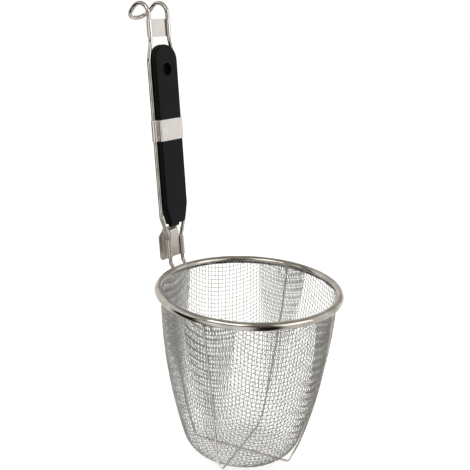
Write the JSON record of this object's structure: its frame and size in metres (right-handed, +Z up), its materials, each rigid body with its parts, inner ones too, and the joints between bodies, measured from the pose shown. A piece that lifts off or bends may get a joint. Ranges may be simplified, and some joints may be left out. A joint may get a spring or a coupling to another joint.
{
  "type": "noodle strainer basket",
  "caption": "Deep round woven wire strainer basket with a rolled rim, two outer rib wires and an upright leaning handle with grip, hanging hook and pot hook.",
  "frame": {"origin": "centre of the rim, at the height of the rolled bead's middle", "axes": "+Z up along the basket's axis, +Y from the basket towards the handle"},
  "size_m": [0.14, 0.188, 0.3369],
  "materials": {
    "woven_wire": "satin",
    "polished_rim": "polished",
    "bent_wire": "polished",
    "brushed_sheet": "brushed",
    "grip_plastic": "satin"
  },
  "bodies": {
    "root": {"mesh_basket": "woven_wire", "rim_channel": "polished_rim", "rim_hoop_wire": "bent_wire", "rib_wire_a": "bent_wire", "rib_wire_b": "bent_wire", "handle_wire": "bent_wire", "top_plate": "brushed_sheet", "grip": "grip_plastic", "clamp_band": "brushed_sheet", "pot_hook_plate": "brushed_sheet"}
  },
  "joints": []
}
